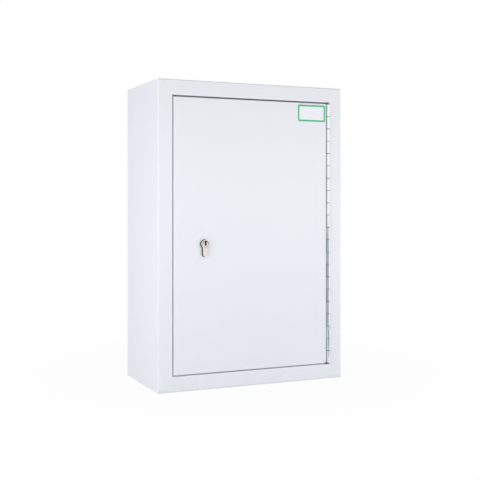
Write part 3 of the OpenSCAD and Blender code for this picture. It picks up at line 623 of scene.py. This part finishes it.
class CABINET_OT_door(bpy.types.Operator):
    """Fold the door: face, four edges and the lips behind, with the openings for the lock"""

    bl_idname = "cabinet.door"
    bl_label = "Folded Door"

    def execute(self, context):
        sheet = context.scene.cabinet_sheet
        left, bottom, top = sheet.gap_closing
        low = DOOR_LOW - Vector((left, 0, bottom))
        high = DOOR_HIGH + Vector((0, 0, top))
        door = box("folded_door", low, high)
        bpy.ops.object.mode_set(mode="EDIT")
        pick("FACE", lambda f: f.normal.y > 0.9)
        bpy.ops.mesh.inset(thickness=sheet.lip_width)
        bpy.ops.mesh.delete(type="FACE")
        front = on_rectangle(low.y, (low.x, low.z), (high.x, high.z))
        rear = on_rectangle(high.y, (low.x, low.z), (high.x, high.z))
        fold(lambda e: front(e) or rear(e), sheet.fold_radius, sheet.fold_segments)
        bpy.ops.object.mode_set(mode="OBJECT")
        modify(door, "SOLIDIFY", thickness=sheet.thickness, offset=-1, use_even_offset=True)
        # The tray's corner by the hinge's foot is left open along its whole depth
        inset, radius = 1 * MM, 2.2 * MM
        x, z = high.x - inset, low.z + inset
        cut(door, rod("corner_cutter", (x, low.y - OVER, z), (x, high.y + OVER, z), radius, 24))
        self.cut_for_lock(door, sheet)
        break_edges(door, sheet.edge_break)
        wear(door, finish_of("powder_coat"), "powder_coat", "door", "door_panel")
        return {"FINISHED"}

    def cut_for_lock(self, door, sheet):
        """The opening for the profile cylinder in the face, and the room for forend and bolt."""
        clear = 0.75 * MM
        head_radius = (CYLINDER_HIGH.x - CYLINDER_LOW.x) / 2
        stem_radius = 5 * MM
        x = (CYLINDER_LOW.x + CYLINDER_HIGH.x) / 2
        head_z = CYLINDER_HIGH.z - head_radius
        foot_z = CYLINDER_LOW.z + stem_radius
        near_y, far_y = DOOR_LOW.y - OVER, DOOR_LOW.y + sheet.thickness + OVER
        stem_side = stem_radius + clear
        cut(door,
            rod("head_cutter", (x, near_y, head_z), (x, far_y, head_z), head_radius + clear, 64),
            box("stem_cutter", (x - stem_side, near_y, foot_z), (x + stem_side, far_y, head_z)),
            rod("foot_cutter", (x, near_y, foot_z), (x, far_y, foot_z), stem_side, 64))
        # The lip stops over the height of the forend, and the edge is notched for the bolt
        lip_margin, bolt_room = 4 * MM, 1.5 * MM
        left, rear = DOOR_LOW.x, DOOR_HIGH.y
        cut(door,
            box("lip_cutter",
                (left - OVER, rear - sheet.fold_radius, FOREND_LOW.z - lip_margin),
                (left + sheet.lip_width + OVER, rear + OVER, FOREND_HIGH.z + lip_margin)),
            box("bolt_cutter", (left - OVER, BOLT_LOW.y - bolt_room, CYLINDER_LOW.z),
                (left + sheet.thickness, rear + OVER, BOLT_HIGH.z + bolt_room)))


class CABINET_OT_label(bpy.types.Operator):
    """Make the label plate: bare white film with a printed green edge"""

    bl_idname = "cabinet.label"
    bl_label = "Label Plate"

    def execute(self, context):
        label = context.scene.cabinet_label
        low = LABEL_LOW - Vector((0, 0, label.taller[0]))
        high = LABEL_HIGH + Vector((0, 0, label.taller[1]))
        plate = box("label_plate", low, high)
        plate.data.materials.append(finish_of("label_film"))
        plate.data.materials.append(finish_of("label_ink"))
        bpy.ops.object.mode_set(mode="EDIT")
        pick("EDGE", lambda e: near(e.verts[0].co.x, e.verts[1].co.x)
             and near(e.verts[0].co.z, e.verts[1].co.z))
        bpy.ops.mesh.bevel(offset=label.corner_radius, segments=8, affect="EDGES")
        # The edge of the white field, cut along each side
        for place, side in ((low, (1, 0, 0)), (high, (-1, 0, 0)), (low, (0, 0, 1)),
                            (high, (0, 0, -1))):
            bpy.ops.mesh.select_all(action="SELECT")
            bpy.ops.mesh.bisect(plane_co=place + label.border * Vector(side), plane_no=side)
        # All of the front but the field in its middle is printed
        middle = (low + high) / 2
        pick("FACE", lambda f: f.normal.y < -0.9 and not (
            near(f.calc_center_median().x, middle.x, 1 * MM)
            and near(f.calc_center_median().z, middle.z, 1 * MM)))
        plate.active_material_index = 1
        bpy.ops.object.material_slot_assign()
        bpy.ops.object.mode_set(mode="OBJECT")
        break_edges(plate, 0.08 * MM)
        wear(plate, None, "label_plastic", "door", "door_label")
        return {"FINISHED"}


class CABINET_OT_fittings(bpy.types.Operator):
    """Break the edges of the fittings that show, and give every solid its finish"""

    bl_idname = "cabinet.fittings"
    bl_label = "Fittings and Finishes"

    # Solids that get broken edges, with the rounding of each
    BROKEN = {
        "hinge_frame_leaf": 0.5 * MM,
        "hinge_door_leaf": 0.5 * MM,
        "cylinder_body": 0.2 * MM,
        "lock_plug": 0.12 * MM,
        "deadbolt": 0.5 * MM,
        "lock_forend": 0.25 * MM,
        "lower_shelf": 0.25 * MM,
        "upper_shelf": 0.25 * MM,
    }
    # Solids whose finish is their record's slot with painted shade, and on the hinge oil dirt too
    OWN_FINISH = {
        "hinge_frame_leaf": "hinge_strip",
        "hinge_door_leaf": "hinge_strip",
        "hinge_pin": "hinge_wire",
        "lock_plug": "plug_nickel",
    }

    def execute(self, context):
        record = frame["record"]
        slots = {part["node"]: part["material_slot"] for part in record["subparts"]}
        bodies = {n: body for body, nodes in record["behaviour"]["bodies"].items() for n in nodes}
        for node, width in self.BROKEN.items():
            self.break_solid(node, width, slots[node], bodies[node])
        for node, solid in frame["nodes"].items():
            if not solid.hide_render:
                solid.data.materials.clear()
                solid.data.materials.append(finish_of(self.OWN_FINISH.get(node, slots[node])))
        return {"FINISHED"}

    def break_solid(self, node, width, slot, body):
        """A copy of a solid, merged and with its edges broken, stands for it."""
        only(frame["nodes"][node])
        bpy.ops.object.duplicate()
        piece = bpy.context.active_object
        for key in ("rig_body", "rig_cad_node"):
            del piece[key]
        bpy.ops.object.parent_clear(type="CLEAR_KEEP_TRANSFORM")
        piece.name = piece.data.name = node + "_broken_edges"
        bpy.ops.mesh.customdata_custom_splitnormals_clear()
        bpy.ops.object.mode_set(mode="EDIT")
        bpy.ops.mesh.select_all(action="SELECT")
        bpy.ops.mesh.remove_doubles(threshold=0.002 * MM)
        bpy.ops.mesh.dissolve_limited(angle_limit=math.radians(0.5))
        bpy.ops.object.mode_set(mode="OBJECT")
        break_edges(piece, width)
        wear(piece, finish_of(self.OWN_FINISH.get(node, slot)), slot, body, node)


# ---- Stage ----


class CABINET_OT_stage(bpy.types.Operator):
    """Set the floor, the white studio, the lamps and the camera"""

    bl_idname = "cabinet.stage"
    bl_label = "Studio"

    def execute(self, context):
        studio = context.scene.cabinet_studio
        self.world(studio)
        self.floor()
        self.lamps(studio)
        camera = bpy.data.cameras.new("camera")
        camera.lens = studio.lens
        camera.sensor_width = 36
        camera.sensor_fit = "HORIZONTAL"
        camera.shift_y = studio.camera_shift
        holder = bpy.data.objects.new("camera", camera)
        holder.location = studio.camera_place
        holder.rotation_euler = (math.radians(90), 0, -studio.camera_heading)
        context.scene.collection.objects.link(holder)
        context.scene.camera = holder
        context.scene.view_settings.view_transform = "Standard"
        return {"FINISHED"}

    def seen(self, tree):
        """1 on rays from the camera, a glossy surface or a clear one, and 0 on the rest."""
        rays = add_node(tree, "ShaderNodeLightPath").outputs
        either = add_node(tree, "ShaderNodeMath", {"operation": "MAXIMUM"},
                          {0: rays["Is Camera Ray"], 1: rays["Is Glossy Ray"]}).outputs[0]
        return add_node(tree, "ShaderNodeMath", {"operation": "MAXIMUM"},
                        {0: either, 1: rays["Is Transmission Ray"]}).outputs[0]

    def world(self, studio):
        """White where it is seen, and a softer all-round light, stronger from the left."""
        world = bpy.data.worlds.new("studio")
        bpy.context.scene.world = world
        world.use_nodes = True
        tree = world.node_tree
        tree.nodes.clear()
        direction = add_node(tree, "ShaderNodeTexCoord").outputs["Generated"]
        lean = add_node(tree, "ShaderNodeVectorMath",
                        {"operation": "DOT_PRODUCT", 1: studio.ambient_lean},
                        {0: direction}).outputs["Value"]
        strength = add_node(tree, "ShaderNodeMath", {"operation": "ADD", 1: studio.ambient},
                            {0: lean}).outputs[0]
        ambient = add_node(tree, "ShaderNodeBackground", {}, {"Strength": strength})
        ambient.inputs["Color"].default_value = (1, 1, 1, 1)
        white = add_node(tree, "ShaderNodeBackground", {"Strength": 1.0})
        white.inputs["Color"].default_value = (1, 1, 1, 1)
        mixed = add_node(tree, "ShaderNodeMixShader", {}, {
            0: self.seen(tree), 1: ambient.outputs[0], 2: white.outputs[0]})
        add_node(tree, "ShaderNodeOutputWorld", {}, {"Surface": mixed.outputs[0]})

    def floor(self):
        """A pale floor that runs into the white background and keeps a trace of the shadow."""
        bpy.ops.object.select_all(action="DESELECT")
        bpy.ops.mesh.primitive_plane_add(size=12, location=(0, 0, -0.5 * MM))
        floor = bpy.context.active_object
        floor.name = "studio_floor"
        bpy.ops.object.transform_apply(location=True, rotation=True, scale=True)
        material, tree, out = new_material("white_paper_sweep")
        paper = add_node(tree, "ShaderNodeBsdfDiffuse", {"Color": linear("#e6e6e6")})
        bright = add_node(tree, "ShaderNodeEmission", {"Strength": 1.0})
        bright.inputs["Color"].default_value = (1, 1, 1, 1)
        place = add_node(tree, "ShaderNodeTexCoord").outputs["Object"]
        away = add_node(tree, "ShaderNodeVectorMath", {"operation": "LENGTH"},
                        {0: place}).outputs["Value"]
        whiteness = add_node(tree, "ShaderNodeMapRange",
                             {"From Min": 0.2, "From Max": 0.7, "To Min": 0.94, "To Max": 1.0},
                             {"Value": away}).outputs["Result"]
        trace = add_node(tree, "ShaderNodeMixShader", {},
                         {0: whiteness, 1: paper.outputs[0], 2: bright.outputs[0]})
        mixed = add_node(tree, "ShaderNodeMixShader", {}, {
            0: self.seen(tree), 1: paper.outputs[0], 2: trace.outputs[0]})
        tree.links.new(mixed.outputs[0], out.inputs["Surface"])
        floor.data.materials.append(material)
        # What only shiny surfaces show: the studio's floor on the left, which darkens 0.65 to
        # 0.85 m away from the hinge, a patch of it before the hinge, and the studio's ceiling
        self.card("dark_floor", ((-9, -8.4), (-3.3, -8.4), (-9, -0.12), (0.16, -0.12)), 1 * MM,
                  "#d0d5d9", "#4a6072", (0.65, 0.85))
        self.card("dark_patch", ((-0.43, -0.75), (0.62, -0.85), (-0.04, -0.31), (0.32, -0.36)),
                  2 * MM, "#c4cccc", "#8a999d", (0.3, 0.45))
        self.card("dark_ceiling", ((-2.5, -2.5), (2.5, -2.5), (-2.5, 2.5), (2.5, 2.5)), 2.5,
                  "#5c6066", "#5c6066", (1, 2))

    def card(self, name, corners, height, near_tone, far_tone, reach):
        """A level card whose tone runs from one to another by distance from the hinge's foot."""
        bpy.ops.object.select_all(action="DESELECT")
        bpy.ops.mesh.primitive_plane_add(size=1)
        card = bpy.context.active_object
        card.name = name
        for vertex, corner in zip(card.data.vertices, corners):
            vertex.co = (*corner, height)
        material, tree, out = new_material(name)
        place = add_node(tree, "ShaderNodeTexCoord").outputs["Object"]
        away = add_node(tree, "ShaderNodeVectorMath",
                        {"operation": "DISTANCE", 1: (HINGE_LOW.x, HINGE_LOW.y, 0)},
                        {0: place}).outputs["Value"]
        share = add_node(tree, "ShaderNodeMapRange",
                         {"From Min": reach[0], "From Max": reach[1]},
                         {"Value": away}).outputs["Result"]
        tone = add_node(tree, "ShaderNodeMix",
                        {"data_type": "RGBA", 6: linear(near_tone), 7: linear(far_tone)},
                        {0: share}).outputs[2]
        shade = add_node(tree, "ShaderNodeEmission", {"Strength": 1.0}, {"Color": tone})
        tree.links.new(shade.outputs[0], out.inputs["Surface"])
        card.data.materials.append(material)
        card.visible_camera = card.visible_diffuse = card.visible_shadow = False
        card.visible_transmission = False

    def lamps(self, studio):
        """Soft lamps for the paint. Reflections show the studio alone, and not the lamps."""
        for name, place, target, size, power, colour in (
                ("front_strip", (0, -0.75, 0.42), (0, 0, 0.42), (2.2, 0.12),
                 studio.front_strip_power, "#ffffff"),
                ("low_strip", (0.5, -0.75, 0.12), (0.1, 0, 0.25), (2.2, 0.12),
                 studio.low_strip_power, "#e6eeff"),
                ("side_strip", (-1.0, -0.27, 0.36), (-0.2, 0, 0.36), (0.5, 0.12),
                 studio.side_strip_power, "#ecf3ff"),
                ("right_softbox", (1.5, -1.8, 0.5), (-0.12, -0.1, 0.4), (0.9, 0.9),
                 studio.right_softbox_power, "#ffffff")):
            lamp = bpy.data.lights.new(name, "AREA")
            lamp.shape = "RECTANGLE"
            lamp.size, lamp.size_y = size
            lamp.energy = power
            lamp.color = linear(colour)[:3]
            holder = bpy.data.objects.new(name, lamp)
            holder.location = place
            holder.rotation_euler = (Vector(place) - Vector(target)).to_track_quat(
                "Z", "Y").to_euler()
            holder.visible_camera = holder.visible_glossy = holder.visible_transmission = False
            bpy.context.scene.collection.objects.link(holder)


class CABINET_PT_panel(bpy.types.Panel):
    """Cabinet pieces, sizes and studio"""

    bl_label = "Medicine Cabinet"
    bl_idname = "CABINET_PT_panel"
    bl_space_type = "VIEW_3D"
    bl_region_type = "UI"
    bl_category = "Cabinet"

    def draw(self, context):
        layout = self.layout
        for operator in OPERATORS:
            layout.operator(operator.bl_idname)
        for name, group in GROUPS.items():
            column = layout.column(align=True)
            for key in group.__annotations__:
                column.prop(getattr(context.scene, name), key)


GROUPS = {
    "cabinet_sheet": CabinetSheet,
    "cabinet_label": CabinetLabel,
    "cabinet_studio": CabinetStudio,
}
OPERATORS = (CABINET_OT_stage, CABINET_OT_shell, CABINET_OT_door, CABINET_OT_label,
             CABINET_OT_fittings)


def register():
    for made in (*GROUPS.values(), *OPERATORS, CABINET_PT_panel):
        bpy.utils.register_class(made)
    for name, group in GROUPS.items():
        setattr(bpy.types.Scene, name, PointerProperty(type=group))


def unregister():
    for name in GROUPS:
        delattr(bpy.types.Scene, name)
    for made in reversed((*GROUPS.values(), *OPERATORS, CABINET_PT_panel)):
        bpy.utils.unregister_class(made)


def main():
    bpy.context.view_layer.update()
    register()
    bpy.ops.cabinet.stage()
    bpy.ops.cabinet.shell()
    bpy.ops.cabinet.door()
    bpy.ops.cabinet.label()
    bpy.ops.cabinet.fittings()


if __name__ == "__main__":
    main()
